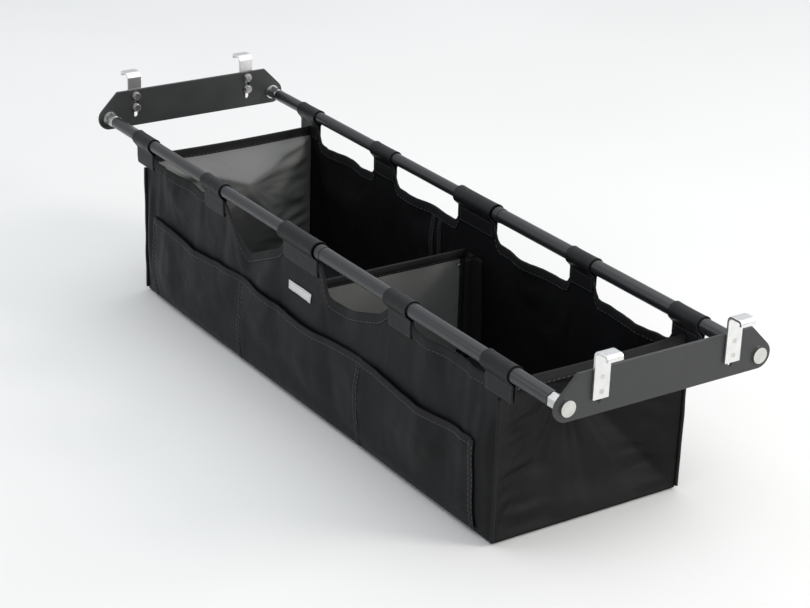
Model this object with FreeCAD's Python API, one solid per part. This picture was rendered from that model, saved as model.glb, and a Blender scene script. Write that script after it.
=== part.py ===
"""Bed cargo bar pair with a hanging storage bag, for a pickup truck bed.

Two telescoping cross bars run across the bed (X). Each end is a long plate
that hangs on the bed rail by two adjustable hooks. A fabric bag with one
divider hangs between the bars on loops. +Y points to the cab, +Z is up.
The origin is below the middle of the span, level with the bag's underside.
All sizes are in millimetres.
"""
import FreeCAD, Part
import math
import os

Vec = FreeCAD.Vector
X_AXIS = Vec(1, 0, 0)
ORIGIN = Vec(0, 0, 0)

# ---- driving dimensions ------------------------------------------------
rail_gap = 1480.0          # between the inner faces of the two bed rails
bar_spacing = 363.0        # between the two bar axes
bar_height = 302.0         # bar axis above the underside of the bag
run_gap = 0.3              # between pieces that move on each other
fit_gap = 0.05             # between pieces that are fixed together

outer_tube_d = 25.4
outer_tube_wall = 1.4
inner_tube_d = 22.0
inner_tube_wall = 1.5
joint_x = 74.0             # end of the outer tubes, right of the middle
tube_overlap = 250.0       # inner tube inside outer tube, at rest

plate_t = 5.0
plate_rise = 50.0          # plate top above the bar axis
plate_end_r = 23.0         # round lower ends, about the bar axes
plate_corner_in = 17.0     # top corners, inward of the bar axes
plate_edge_r = 1.0

hook_t = 4.5
hook_w = 29.0
hook_inset = 57.0          # hook centre, inward of the bar axis
hook_top = 82.0            # top of the lip above the bar axis
hook_reach = 22.0          # inside width of the hook over the rail
hook_bend_r = 6.0
hook_tip_bend_r = 2.0
hook_tip_drop = 5.5
hook_edge_r = 0.8
hook_foot = 3.0            # lower end of the hook above the bar axis
hook_slide_down = 16.0     # adjustment that the plate's slot leaves

bolt_d = 8.0
bolt_head_af = 13.0
bolt_head_h = 5.3
bolt_pitch = 23.5
bolt_high = 38.0           # upper bolt above the bar axis
washer_d = 17.0
washer_t = 1.6
slot_gap = 0.4             # bolt to slot side

stud_d = 12.0
stud_head_d = 26.0
stud_head_t = 4.0
stud_in_tube = 30.0
bar_washer_d = 28.0
bar_washer_t = 2.0
nut_af = 22.0
nut_len = 26.0

bush_len = 30.0
bush_lip = 2.0
collar_step = 1.4          # collar diameter over the outer tube
collar_len = 14.0
collar_lip = 2.0
collet_wall = 1.0
grip_gap = 0.1             # collet to inner tube, and collar to collet

bag_len = 1150.0
fabric_t = 2.0
board_t = 3.0
end_wall_drop = 28.0       # end wall top below the bar axis
end_fold_drop = 100.0      # deepest point of the end wall's inward fold
end_fold_in = 75.0
binding_h = 18.0
binding_t = 1.5
loop_wall = 2.0
loop_ease = 1.6            # inside of a loop over the collar
loop_leg = 30.0            # sewn legs below the loop
tab_drop = 20.0            # top of the wall's tabs below the bar axis
rear_hem_drop = 30.0
front_hem_drop = 55.0
loop_at = (-575.0, -303.0, 0.0, 306.0, 575.0)
loop_len = (66.0, 72.0, 114.0, 66.0, 72.0)
opening_left_deep = 92.0   # hand opening left of the middle loop
opening_right_deep = 75.0  # hand opening right of the middle loop
tag_w = 75.0
tag_h = 16.0
tag_t = 1.0
tag_drop = 93.0
pocket_drop = 136.0
pocket_t = 1.5
pocket_edge = 45.0         # pocket in from each end of the rear wall
piping_d = 6.0

divider_t = 4.0
divider_side_gap = 7.3     # divider to the loops, each side
divider_drop = 83.0
guide_w = 25.0
guide_t = 2.0
rivet_d = 9.0
rivet_inset = 12.0

# ---- derived places ----------------------------------------------------
bar_y = bar_spacing / 2
rail_x = rail_gap / 2
plate_out_x = rail_x - hook_t - run_gap
plate_in_x = plate_out_x - plate_t
nut_out_x = plate_in_x - bar_washer_t - run_gap
nut_in_x = nut_out_x - nut_len
tube_end_x = nut_in_x - run_gap
outer_r = outer_tube_d / 2
outer_bore_r = outer_r - outer_tube_wall
inner_r = inner_tube_d / 2
inner_bore_r = inner_r - inner_tube_wall
hook_y = bar_y - hook_inset
collar_d = outer_tube_d + collar_step
loop_d = collar_d + loop_ease
bag_end_x = bag_len / 2
floor_top = fabric_t + board_t
wall_in_y = bar_y - fabric_t / 2
divider_half = bar_y - loop_d / 2 - loop_wall - divider_side_gap
SIDES = (("left", -1), ("right", 1))
ENDS = (("rear", -1), ("front", 1))


# ---- helpers -----------------------------------------------------------
def box(x0, x1, y0, y1, z0, z1):
    corner = Vec(min(x0, x1), min(y0, y1), min(z0, z1))
    return Part.makeBox(abs(x1 - x0), abs(y1 - y0), abs(z1 - z0), corner)


def rod_x(x0, x1, radius, y, z):
    low = min(x0, x1)
    return Part.makeCylinder(radius, abs(x1 - x0), Vec(low, y, z), X_AXIS)


def ring_x(x0, x1, radius, bore, y, z):
    return rod_x(x0, x1, radius, y, z).cut(rod_x(x0, x1, bore, y, z))


def hex_x(x0, x1, across_flats, y, z, chamfer):
    """Hexagon bar along X with turned corners at both ends."""
    corner_r = across_flats / math.sqrt(3)
    flat_r = across_flats / 2 - 0.3
    low, high = min(x0, x1), max(x0, x1)
    corners = [math.radians(60 * i + 30) for i in range(7)]
    points = [Vec(low, y + corner_r * math.cos(a), z + corner_r * math.sin(a)) for a in corners]
    prism = Part.Face(Part.makePolygon(points)).extrude(Vec(high - low, 0, 0))
    profile = [
        Vec(low, 0, 0), Vec(low, flat_r, 0), Vec(low + chamfer, corner_r, 0),
        Vec(high - chamfer, corner_r, 0), Vec(high, flat_r, 0), Vec(high, 0, 0), Vec(low, 0, 0),
    ]
    turned = Part.Face(Part.makePolygon(profile)).revolve(ORIGIN, X_AXIS, 360)
    turned.translate(Vec(0, y, z))
    return prism.common(turned)


def outline(start, steps):
    """Closed wire: each step is an end point, or (middle, end) of an arc."""
    edges = []
    here = start
    for step in steps:
        if isinstance(step, tuple):
            edges.append(Part.Arc(here, step[0], step[1]).toShape())
            here = step[1]
        else:
            edges.append(Part.LineSegment(here, step).toShape())
            here = step
    return Part.Wire(edges)


def on_arc(cx, cz, radius, degrees):
    """Point at an angle on an arc, as a horizontal and a vertical distance."""
    angle = math.radians(degrees)
    return cx + radius * math.cos(angle), cz + radius * math.sin(angle)


def at_side(shape, side):
    """Build at +X, mirror to the left when side is -1."""
    return shape.mirror(ORIGIN, X_AXIS) if side < 0 else shape


def save(name, shapes):
    solids = [solid for shape in shapes for solid in shape.Solids]
    result = solids[0] if len(solids) == 1 else Part.makeCompound(solids)
    result.exportStep("parts/" + name + ".step")
    print(name, len(solids), round(sum(solid.Volume for solid in solids) / 1000, 2), "cm3")


# ---- end plates, studs and bar nuts --------------------------------------
def end_plate():
    """Flat plate with slanted top corners and round lower ends."""
    top = bar_height + plate_rise
    half = bar_y - plate_corner_in
    reach = math.hypot(plate_corner_in, plate_rise)
    corner_angle = math.degrees(math.atan2(plate_rise, -plate_corner_in))
    tangent = corner_angle - math.degrees(math.acos(plate_end_r / reach))
    upper = on_arc(bar_y, bar_height, plate_end_r, tangent)
    middle = on_arc(bar_y, bar_height, plate_end_r, (tangent - 90) / 2)
    bottom = bar_height - plate_end_r

    def spot(y, z):
        return Vec(plate_in_x, y, z)

    wire = outline(spot(-half, top), [
        spot(half, top),
        spot(upper[0], upper[1]),
        (spot(middle[0], middle[1]), spot(bar_y, bottom)),
        spot(-bar_y, bottom),
        (spot(-middle[0], middle[1]), spot(-upper[0], upper[1])),
        spot(-half, top),
    ])
    plate = Part.Face(wire).extrude(Vec(plate_t, 0, 0))
    rim = [edge for edge in plate.Edges if is_flat_in_x(edge)]
    plate = plate.makeFillet(plate_edge_r, rim)
    for _, end in ENDS:
        y = end * bar_y
        plate = plate.cut(rod_x(plate_in_x - 1, plate_out_x + 1, stud_d / 2 + fit_gap, y, bar_height))
        plate = plate.cut(hook_slot(end * hook_y))
    return plate


def is_flat_in_x(edge):
    bounds = edge.BoundBox
    return bounds.XMax - bounds.XMin < 0.01


def is_flat_in_y(edge):
    bounds = edge.BoundBox
    return bounds.YMax - bounds.YMin < 0.01


def hook_slot(y):
    half = bolt_d / 2 + slot_gap
    top = bar_height + bolt_high + run_gap
    low = bar_height + bolt_high - bolt_pitch - hook_slide_down - run_gap
    x0, x1 = plate_in_x - 1, plate_out_x + 1
    slot = box(x0, x1, y - half, y + half, low, top)
    return slot.fuse([rod_x(x0, x1, half, y, low), rod_x(x0, x1, half, y, top)]).removeSplitter()


def bar_stud(end):
    y = end * bar_y
    head = rod_x(plate_out_x, plate_out_x + stud_head_t, stud_head_d / 2, y, bar_height)
    shank = rod_x(tube_end_x - stud_in_tube, plate_out_x, stud_d / 2, y, bar_height)
    return head.fuse(shank).removeSplitter()


def bar_washer(end):
    y = end * bar_y
    hole = stud_d / 2 + fit_gap
    return ring_x(plate_in_x - bar_washer_t, plate_in_x, bar_washer_d / 2, hole, y, bar_height)


def bar_nut(end):
    y = end * bar_y
    nut = hex_x(nut_in_x, nut_out_x, nut_af, y, bar_height, 1.5)
    return nut.cut(rod_x(nut_in_x - 1, nut_out_x + 1, stud_d / 2 + fit_gap, y, bar_height))


def tube_plug(end, bore_r):
    y = end * bar_y
    inner = tube_end_x - stud_in_tube
    return ring_x(inner, tube_end_x, bore_r - fit_gap, stud_d / 2 + fit_gap, y, bar_height)


# ---- telescoping bars ----------------------------------------------------
def inner_tube(end):
    return ring_x(-tube_end_x, joint_x + tube_overlap, inner_r, inner_bore_r, end * bar_y, bar_height)


def outer_tube(end):
    return ring_x(joint_x, tube_end_x, outer_r, outer_bore_r, end * bar_y, bar_height)


def guide_bush(end):
    """Plastic bush in the hidden end of the inner tube, with a lip that centres it."""
    y = end * bar_y
    tip = joint_x + tube_overlap
    core = rod_x(tip - bush_len, tip, inner_bore_r - fit_gap, y, bar_height)
    lip = rod_x(tip, tip + bush_lip, outer_bore_r - fit_gap, y, bar_height)
    return core.fuse(lip).removeSplitter()


def collet(end):
    """Split sleeve that grips the inner tube when the collar is turned."""
    y = end * bar_y
    bore = inner_r + grip_gap
    start = joint_x - collar_len + collar_lip + run_gap
    sleeve = ring_x(start, joint_x, bore + collet_wall, bore, y, bar_height)
    slit = box(start - 1, joint_x - collar_lip, y - 0.6, y + 0.6, bar_height, bar_height + outer_r)
    return sleeve.cut(slit)


def lock_collar(end):
    y = end * bar_y
    start = joint_x - collar_len
    bore = inner_r + grip_gap + collet_wall + grip_gap
    body = ring_x(start + collar_lip, joint_x - run_gap, collar_d / 2, bore, y, bar_height)
    lip = ring_x(start, start + collar_lip, collar_d / 2, inner_r + run_gap, y, bar_height)
    return body.fuse(lip).removeSplitter()


# ---- rail hooks ----------------------------------------------------------
def rail_hook(y):
    """Bent strap: shank behind the plate, lip over the rail, short tip."""
    top = bar_height + hook_top
    under = top - hook_t
    foot = bar_height + hook_foot
    inside = rail_x
    bend_x = inside + hook_bend_r
    bend_z = under - hook_bend_r
    tip_in = inside + hook_reach
    tip_x = tip_in - hook_tip_bend_r
    tip_z = under - hook_tip_bend_r
    tip_low = under - hook_tip_drop
    big = hook_bend_r + hook_t
    small = hook_tip_bend_r + hook_t

    def spot(x, z):
        return Vec(x, y - hook_w / 2, z)

    outer_mid = on_arc(bend_x, bend_z, big, 135)
    inner_mid = on_arc(bend_x, bend_z, hook_bend_r, 135)
    tip_outer_mid = on_arc(tip_x, tip_z, small, 45)
    tip_inner_mid = on_arc(tip_x, tip_z, hook_tip_bend_r, 45)
    wire = outline(spot(inside, foot), [
        spot(inside, bend_z),
        (spot(*inner_mid), spot(bend_x, under)),
        spot(tip_x, under),
        (spot(*tip_inner_mid), spot(tip_in, tip_z)),
        spot(tip_in, tip_low),
        spot(tip_in + hook_t, tip_low),
        spot(tip_in + hook_t, tip_z),
        (spot(*tip_outer_mid), spot(tip_x, top)),
        spot(bend_x, top),
        (spot(*outer_mid), spot(inside - hook_t, bend_z)),
        spot(inside - hook_t, foot),
        spot(inside, foot),
    ])
    hook = Part.Face(wire).extrude(Vec(0, hook_w, 0))
    hook = hook.makeFillet(hook_edge_r, [edge for edge in hook.Edges if is_flat_in_y(edge)])
    for z in bolt_heights():
        hook = hook.cut(rod_x(inside - hook_t - 1, inside + 1, bolt_d / 2 + fit_gap, y, z))
    return hook


def bolt_heights():
    high = bar_height + bolt_high
    return high, high - bolt_pitch


def hook_bolt(y, z):
    seat = plate_in_x - run_gap - washer_t
    head = hex_x(seat - bolt_head_h, seat, bolt_head_af, y, z, 0.9)
    shank = rod_x(seat, rail_x - 0.3, bolt_d / 2, y, z)
    return head.fuse(shank)


def hook_washer(y, z):
    seat = plate_in_x - run_gap
    return ring_x(seat - washer_t, seat, washer_d / 2, bolt_d / 2 + fit_gap, y, z)


# ---- bag -------------------------------------------------------------
def wall_panel(end, hem_line):
    """Long wall: straight bottom and ends, tabs under the loops."""
    y = end * bar_y - fabric_t / 2
    points = [(-bag_end_x, fabric_t), (bag_end_x, fabric_t)]
    points += [(x, bar_height - drop) for x, drop in reversed(hem_line)]
    corners = [Vec(x, y, z) for x, z in points + points[:1]]
    return Part.Face(Part.makePolygon(corners)).extrude(Vec(0, fabric_t, 0))


def hem_between(index, shape):
    """Hem from one loop to the next, between tabs as high as the loops."""
    left = loop_at[index] + loop_len[index] / 2
    right = loop_at[index + 1] - loop_len[index + 1] / 2
    return [(left, tab_drop)] + shape(left, right) + [(right, tab_drop)]


def rear_hem():
    def straight(left, right):
        return [(left, rear_hem_drop), (right, rear_hem_drop)]

    def left_opening(left, right):
        wide = right - left
        low = opening_left_deep
        return [(left + 0.08 * wide, rear_hem_drop), (left + 0.38 * wide, low),
                (right - 0.05 * wide, rear_hem_drop + 8)]

    def right_opening(left, right):
        wide = right - left
        low = opening_right_deep
        return [(left + 0.09 * wide, rear_hem_drop), (left + 0.1 * wide, low - 9),
                (left + 0.2 * wide, low), (left + 0.37 * wide, low), (left + 0.87 * wide, rear_hem_drop + 13)]

    line = [(-bag_end_x, tab_drop)]
    for index, shape in enumerate((straight, left_opening, right_opening, straight)):
        line += hem_between(index, shape)
    return line + [(bag_end_x, tab_drop)]


def front_hem():
    def slack(left, right):
        return [(left, front_hem_drop), (right, front_hem_drop)]

    line = [(-bag_end_x, tab_drop)]
    for index in range(len(loop_at) - 1):
        line += hem_between(index, slack)
    return line + [(bag_end_x, tab_drop)]


def sewn_loop(end, index):
    """Band round the bar whose two legs are sewn to the wall's tab."""
    y = end * bar_y
    start = loop_at[index] - loop_len[index] / 2
    stop = start + loop_len[index]
    eye_z = bar_height - (loop_d / 2 - collar_d / 2 - run_gap)
    leg_half = fabric_t / 2 + fit_gap
    foot = bar_height - tab_drop - loop_leg
    band = rod_x(start, stop, loop_d / 2 + loop_wall, y, eye_z)
    legs = box(start, stop, y - leg_half - loop_wall, y + leg_half + loop_wall, foot, eye_z)
    slot = box(start, stop, y - leg_half, y + leg_half, foot, eye_z)
    return band.fuse(legs).cut(rod_x(start, stop, loop_d / 2, y, eye_z)).cut(slot).removeSplitter()


def end_wall():
    """End panel folded inward to one deep point below a flat top band."""
    half = wall_in_y - loop_wall - 2 * fit_gap
    top = bar_height - end_wall_drop

    def spot(y, z, inward=0.0):
        return Vec(bag_end_x - inward, y, z)

    top_rear, top_front = spot(-half, top), spot(half, top)
    band_rear, band_front = spot(-half, top - binding_h), spot(half, top - binding_h)
    foot_rear, foot_front = spot(-half, fabric_t), spot(half, fabric_t)
    deep = spot(0, bar_height - end_fold_drop, end_fold_in)
    facets = [
        [top_rear, top_front, band_front, band_rear],
        [band_rear, band_front, deep],
        [band_rear, deep, foot_rear],
        [band_front, foot_front, deep],
        [foot_rear, deep, foot_front],
    ]
    through = Vec(-fabric_t, 0, 0)
    plies = [Part.Face(Part.makePolygon(facet + facet[:1])).extrude(through) for facet in facets]
    return plies[0].fuse(plies[1:]).removeSplitter()


def end_binding():
    """Folded tape over the end wall's top edge."""
    top = bar_height - end_wall_drop
    half = wall_in_y - loop_wall - 2 * fit_gap
    skin = box(bag_end_x - fabric_t - binding_t, bag_end_x + binding_t, -half, half,
               top - binding_h, top + binding_t)
    return skin.cut(box(bag_end_x - fabric_t, bag_end_x, -half, half, top - binding_h, top))


def corner_piping():
    """Round cord in each upright corner seam, outside the walls."""
    cords = []
    for _, side in SIDES:
        for _, end in ENDS:
            x = side * (bag_end_x + piping_d / 2)
            y = end * (bar_y + fabric_t / 2 + piping_d / 2)
            height = bar_height - tab_drop - loop_leg - 2 * fabric_t
            cords.append(Part.makeCylinder(piping_d / 2, height, Vec(x, y, fabric_t)))
    return cords


def floor_panel():
    half_y = bar_y + fabric_t / 2
    return box(-bag_end_x, bag_end_x, -half_y, half_y, 0, fabric_t)


def floor_board():
    half_x = bag_end_x - 2 * fabric_t
    half_y = wall_in_y - 2 * fabric_t
    return box(-half_x, half_x, -half_y, half_y, fabric_t, floor_top)


def rear_pocket():
    """Flat outer pocket on the lower half of the rear wall."""
    y = -bar_y - fabric_t / 2
    half = bag_end_x - pocket_edge
    return box(-half, half, y - pocket_t, y, fabric_t, bar_height - pocket_drop)


def blank_tag():
    y = -bar_y - fabric_t / 2
    z = bar_height - tag_drop
    return box(-tag_w / 2, tag_w / 2, y - tag_t, y, z - tag_h / 2, z + tag_h / 2)


def divider_guides(end):
    """Two sewn strips that hold one upright edge of the divider."""
    strips = []
    for _, side in SIDES:
        inner = side * (divider_t / 2 + 3 * run_gap)
        y = end * wall_in_y
        strips.append(box(inner, inner + side * guide_t, y - end * guide_w, y, floor_top,
                          bar_height - divider_drop - binding_h))
    return strips


# ---- divider ---------------------------------------------------------
def divider_panel():
    half = divider_half
    top = bar_height - divider_drop
    panel = box(-divider_t / 2, divider_t / 2, -half, half, floor_top + run_gap, top)
    for _, end in ENDS:
        y = end * (half - rivet_inset)
        panel = panel.cut(rod_x(-divider_t, divider_t, rivet_d / 4 + fit_gap, y, rivet_height()))
    return panel


def rivet_height():
    return bar_height - divider_drop - binding_h - rivet_inset


def divider_binding():
    half = divider_half
    top = bar_height - divider_drop
    wide = divider_t / 2 + binding_t / 2
    skin = box(-wide, wide, -half, half, top - binding_h, top + binding_t)
    return skin.cut(box(-divider_t / 2, divider_t / 2, -half, half, top - binding_h, top))


def divider_rivet(end):
    y = end * (divider_half - rivet_inset)
    z = rivet_height()
    head = binding_t / 2
    shank = rod_x(-divider_t / 2, divider_t / 2, rivet_d / 4, y, z)
    caps = [rod_x(s * divider_t / 2, s * (divider_t / 2 + head), rivet_d / 2, y, z) for s in (-1, 1)]
    return shank.fuse(caps)


# ---- build and save --------------------------------------------------------
os.makedirs("parts", exist_ok=True)

for side_name, side in SIDES:
    save(side_name + "_end_plate", [at_side(end_plate(), side)])
    save(side_name + "_bar_washers", [at_side(bar_washer(end), side) for _, end in ENDS])
    plug_bore = inner_bore_r if side < 0 else outer_bore_r
    for end_name, end in ENDS:
        place = side_name + "_" + end_name
        y = end * hook_y
        save(place + "_bar_stud", [at_side(bar_stud(end), side)])
        save(place + "_bar_nut", [at_side(bar_nut(end), side)])
        save(place + "_tube_plug", [at_side(tube_plug(end, plug_bore), side)])
        save(place + "_rail_hook", [at_side(rail_hook(y), side)])
        save(place + "_hook_bolts", [at_side(hook_bolt(y, z), side) for z in bolt_heights()])
        save(place + "_hook_washers", [at_side(hook_washer(y, z), side) for z in bolt_heights()])
    save(side_name + "_end_wall", [at_side(end_wall(), side)])
    save(side_name + "_end_binding", [at_side(end_binding(), side)])

for end_name, end in ENDS:
    save(end_name + "_inner_tube", [inner_tube(end)])
    save(end_name + "_outer_tube", [outer_tube(end)])
    save(end_name + "_guide_bush", [guide_bush(end)])
    save(end_name + "_collet", [collet(end)])
    save(end_name + "_lock_collar", [lock_collar(end)])
    save(end_name + "_loops", [sewn_loop(end, index) for index in range(len(loop_at))])
    save(end_name + "_divider_guides", divider_guides(end))

save("rear_wall", [wall_panel(-1, rear_hem())])
save("front_wall", [wall_panel(1, front_hem())])
save("floor_panel", [floor_panel()])
save("floor_board", [floor_board()])
save("rear_pocket", [rear_pocket()])
save("blank_tag", [blank_tag()])
save("corner_piping", corner_piping())
save("divider_panel", [divider_panel()])
save("divider_binding", [divider_binding()])
save("divider_rivets", [divider_rivet(end) for _, end in ENDS])
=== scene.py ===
# %% [markdown]
# # A pair of bed cargo bars with a hanging bag
#
# The real object is two telescoping steel bars that span a pickup bed. Each end is a
# powder coated plate that hangs on the bed rail by two zinc plated hooks, and a bag of
# coated polyester hangs between the bars on sewn loops.
#
# The metal parts already exist as exact CAD solids, so here they only get a finish. The
# bag is cloth, and cloth is what this script makes: it is drawn as large curved sheets,
# let down under its own weight by a cloth simulation, and then sewn together with tapes,
# loops, piping and rows of stitches.

# %% Load the frame
import math

import bpy
import numpy as np
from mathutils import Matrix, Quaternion, Vector, noise


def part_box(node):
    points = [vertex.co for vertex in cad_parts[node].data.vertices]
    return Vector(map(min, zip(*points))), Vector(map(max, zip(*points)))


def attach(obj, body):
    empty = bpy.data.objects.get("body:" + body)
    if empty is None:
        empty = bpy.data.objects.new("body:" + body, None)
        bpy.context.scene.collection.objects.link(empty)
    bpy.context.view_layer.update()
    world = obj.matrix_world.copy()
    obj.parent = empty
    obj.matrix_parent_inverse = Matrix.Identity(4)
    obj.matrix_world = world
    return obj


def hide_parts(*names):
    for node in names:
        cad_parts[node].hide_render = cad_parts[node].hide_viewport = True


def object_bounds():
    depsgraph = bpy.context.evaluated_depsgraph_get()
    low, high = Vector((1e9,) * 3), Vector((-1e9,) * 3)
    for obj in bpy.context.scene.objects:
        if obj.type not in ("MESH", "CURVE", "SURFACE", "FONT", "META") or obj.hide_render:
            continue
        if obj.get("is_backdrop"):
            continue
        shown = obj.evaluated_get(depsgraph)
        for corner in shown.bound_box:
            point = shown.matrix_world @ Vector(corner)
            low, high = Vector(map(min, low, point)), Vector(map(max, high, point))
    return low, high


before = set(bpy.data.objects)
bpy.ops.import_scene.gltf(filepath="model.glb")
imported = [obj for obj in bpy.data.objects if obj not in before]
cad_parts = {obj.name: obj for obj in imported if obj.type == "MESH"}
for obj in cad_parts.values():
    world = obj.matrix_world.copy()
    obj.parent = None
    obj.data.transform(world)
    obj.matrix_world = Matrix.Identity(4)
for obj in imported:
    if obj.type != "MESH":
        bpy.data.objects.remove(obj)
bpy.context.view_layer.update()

# %% [markdown]
# ## Sizes
#
# Every place comes from the CAD frame. The bars give the two lines that the bag hangs
# from, and the flat CAD panels give the outline that the cloth is cut to. What the frame
# doesn't hold is how thick the cloth is and how it is sewn, so those sizes are named here.

# %% Places read from the frame, in metres
bar_low, bar_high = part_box("rear_inner_tube")
BAR_Z = (bar_low.z + bar_high.z) / 2
BAR_Y = -(bar_low.y + bar_high.y) / 2
INNER_BAR_R = (bar_high.z - bar_low.z) / 2
OUTER_BAR_R = (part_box("rear_outer_tube")[1].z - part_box("rear_outer_tube")[0].z) / 2
COLLAR_R = (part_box("rear_lock_collar")[1].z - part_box("rear_lock_collar")[0].z) / 2
BAG_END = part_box("rear_wall")[1].x
FLOOR_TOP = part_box("floor_panel")[1].z
END_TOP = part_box("left_end_wall")[1].z
POCKET_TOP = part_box("rear_pocket")[1].z
POCKET_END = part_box("rear_pocket")[1].x
DIVIDER_LOW, DIVIDER_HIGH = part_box("divider_panel")

CLOTH_T = 0.0014        # coated cloth
TAPE_T = 0.0011         # hem tape, which is folded over the edge
TAPE_W = 0.018
LOOP_T = 0.0015         # doubled cloth of a loop
LOOP_CLEAR = 0.0004     # gap between a loop and its bar
COLUMN = 0.007          # spacing of the long walls' columns
ROWS = 38
STITCH_R = 0.00055
STITCH_PITCH = 0.0095
STITCH_SHARE = 0.62     # part of the pitch that shows as thread
SIGNS = {"rear": -1.0, "front": 1.0}
print("bars at z", round(BAR_Z, 4), "and y", round(BAR_Y, 4), "bag half length", round(BAG_END, 4))

# %% [markdown]
# ## Colours and shader nodes
#
# Paint shops and web pages give colours as sRGB hex codes, and shaders work in linear
# light, so one function converts them. Patterns are sized in millimetres on the real
# thing, and two small functions turn that into the Scale of a noise or wave texture. One
# function adds a shader node with its settings and links, and every material is made with it.


# %% Colour, size and node helpers
def linear(code):
    """An sRGB hex colour as the linear red, green, blue and alpha of a shader."""
    shares = [int(code[i:i + 2], 16) / 255 for i in (1, 3, 5)]
    return [c / 12.92 if c <= 0.04045 else ((c + 0.055) / 1.055) ** 2.4 for c in shares] + [1.0]


def lumps(size_mm):
    """Scale of a noise whose lumps are about that many millimetres across."""
    return 1000 / size_mm


def bands(period_mm):
    """Scale of a wave texture whose bands are that many millimetres apart."""
    return 100 * math.pi / period_mm


def new_material(name):
    material = bpy.data.materials.new(name)
    material.use_nodes = True
    material.node_tree.nodes.clear()
    print("material", name)
    return material


def add_node(material, kind, settings=None, links=None):
    """Add one shader node. Settings are its options and fixed inputs, and links say what its inputs read."""
    node = material.node_tree.nodes.new("ShaderNode" + kind)
    for name, value in (settings or {}).items():
        if isinstance(name, str) and hasattr(node, name):
            setattr(node, name, value)
        else:
            node.inputs[name].default_value = value
    for name, (source, output) in (links or {}).items():
        material.node_tree.links.new(source.outputs[output], node.inputs[name])
    return node


# %% [markdown]
# ## Powder coat on the end plates
#
# The plates are steel with a baked dark grey powder coat. Powder melts into a skin with a
# fine orange peel, so it is satin and not glossy, with a slightly uneven sheen. The grit
# of such a coat is about half a millimetre across, too fine for a view of the whole
# object, so it is drawn at 0.9 mm, and a wave of 9 mm lies under it to break up the highlight.

# %% Powder coat
coat = new_material("dark_grey_powder_coat_on_steel")
place = add_node(coat, "TexCoord")
cloud = add_node(coat, "TexNoise", {"Scale": lumps(45), "Detail": 3.0}, {"Vector": (place, "Object")})
peel = add_node(coat, "TexNoise", {"Scale": lumps(9)}, {"Vector": (place, "Object")})
grit = add_node(coat, "TexNoise", {"Scale": lumps(0.9), "Detail": 1.0}, {"Vector": (place, "Object")})
tone = {"data_type": "RGBA", 6: linear("#292a2b"), 7: linear("#353637")}
tone = add_node(coat, "Mix", tone, {0: (cloud, "Fac")})
sheen = add_node(coat, "MapRange", {"To Min": 0.40, "To Max": 0.54}, {"Value": (cloud, "Fac")})
wave = add_node(coat, "Bump", {"Distance": 0.00012}, {"Height": (peel, "Fac")})
relief = {"Height": (grit, "Fac"), "Normal": (wave, "Normal")}
relief = add_node(coat, "Bump", {"Distance": 0.00006}, relief)
links = {"Base Color": (tone, 2), "Roughness": (sheen, "Result"), "Normal": (relief, "Normal")}
shader = add_node(coat, "BsdfPrincipled", {"IOR": 1.5}, links)
add_node(coat, "OutputMaterial", links={"Surface": (shader, "BSDF")})
plate_powder_coat = coat

# %% [markdown]
# ## Satin paint on the tubes
#
# The tubes are drawn steel with a smooth black coat. It reads as a long sharp highlight
# on a dark ground. Sliding one tube in the other leaves faint scratches along its length,
# so the noise that roughens it is stretched along X, twenty times as long as it is wide.

# %% Tube paint
paint = new_material("satin_black_paint_on_steel_tube")
place = add_node(paint, "TexCoord")
along = add_node(paint, "Mapping", {"Scale": (0.05, 1.0, 1.0)}, {"Vector": (place, "Object")})
marks = {"Scale": lumps(1.6), "Detail": 4.0, "Roughness": 0.7}
marks = add_node(paint, "TexNoise", marks, {"Vector": (along, "Vector")})
cloud = add_node(paint, "TexNoise", {"Scale": lumps(120), "Detail": 3.0}, {"Vector": (place, "Object")})
drawn = add_node(paint, "TexNoise", {"Scale": lumps(12)}, {"Vector": (place, "Object")})
tone = {"data_type": "RGBA", 6: linear("#1b1c1e"), 7: linear("#252628")}
tone = add_node(paint, "Mix", tone, {0: (cloud, "Fac")})
sheen = add_node(paint, "MapRange", {"To Min": 0.22, "To Max": 0.42}, {"Value": (marks, "Fac")})
wave = add_node(paint, "Bump", {"Distance": 0.00008}, {"Height": (drawn, "Fac")})
relief = {"Height": (marks, "Fac"), "Normal": (wave, "Normal")}
relief = add_node(paint, "Bump", {"Distance": 0.00003}, relief)
links = {"Base Color": (tone, 2), "Roughness": (sheen, "Result"), "Normal": (relief, "Normal")}
shader = add_node(paint, "BsdfPrincipled", {"IOR": 1.5, "Coat Weight": 0.15, "Coat Roughness": 0.2}, links)
add_node(paint, "OutputMaterial", links={"Surface": (shader, "BSDF")})
tube_black_paint = paint

# %% [markdown]
# ## Zinc plating
#
# Hooks, bolts, washers and nuts are bright zinc plated steel. Zinc is a true metal to the
# eye: no colour of its own beyond a cool grey, and a soft, slightly cloudy mirror. The
# hooks are bent from rolled strap, whose rolling marks run along the strap, and the
# turned and forged small parts are a little duller and warmer, with marks round the axis.


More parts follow.
